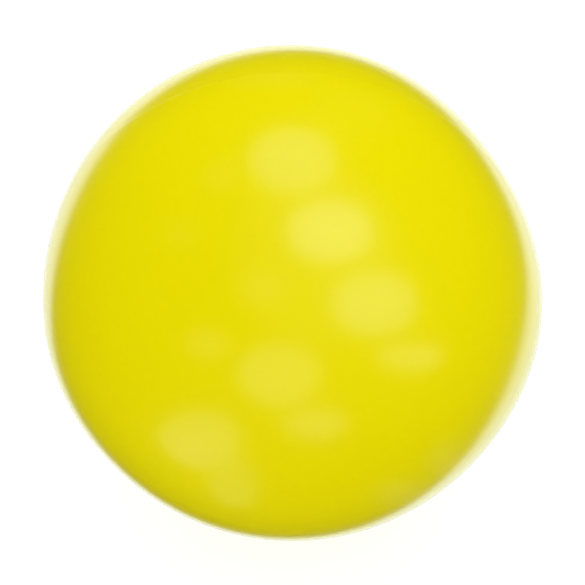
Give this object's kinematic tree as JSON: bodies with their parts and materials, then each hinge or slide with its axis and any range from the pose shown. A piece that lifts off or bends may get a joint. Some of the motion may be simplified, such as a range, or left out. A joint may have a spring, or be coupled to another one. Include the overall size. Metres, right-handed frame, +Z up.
{
  "type": "playground rubber ball",
  "caption": "Smooth yellow inflatable rubber playground ball with a wound reinforcing layer, a bladder and a self-sealing needle valve whose plug pulls out.",
  "frame": {"origin": "centre of the ball", "axes": "+Y along the valve's axis, out of the valve's mouth; +Z up; the cover's parting line lies in the XZ plane"},
  "size_m": [0.2158, 0.2158, 0.2158],
  "materials": {
    "cover": "satin",
    "winding": "matte",
    "bladder": "satin",
    "patch": "matte",
    "valve": "satin",
    "plug": "satin"
  },
  "bodies": {
    "ball": {"cover_front": "cover", "cover_back": "cover", "nylon_winding": "winding", "bladder": "bladder", "valve_patch": "patch", "valve_housing": "valve"},
    "plug": {"valve_plug": "plug"}
  },
  "joints": [
    {"name": "plug_pull", "type": "slide", "parent": "ball", "child": "plug", "axis": [0, 1, 0], "range_m": [0, 0.016]}
  ]
}
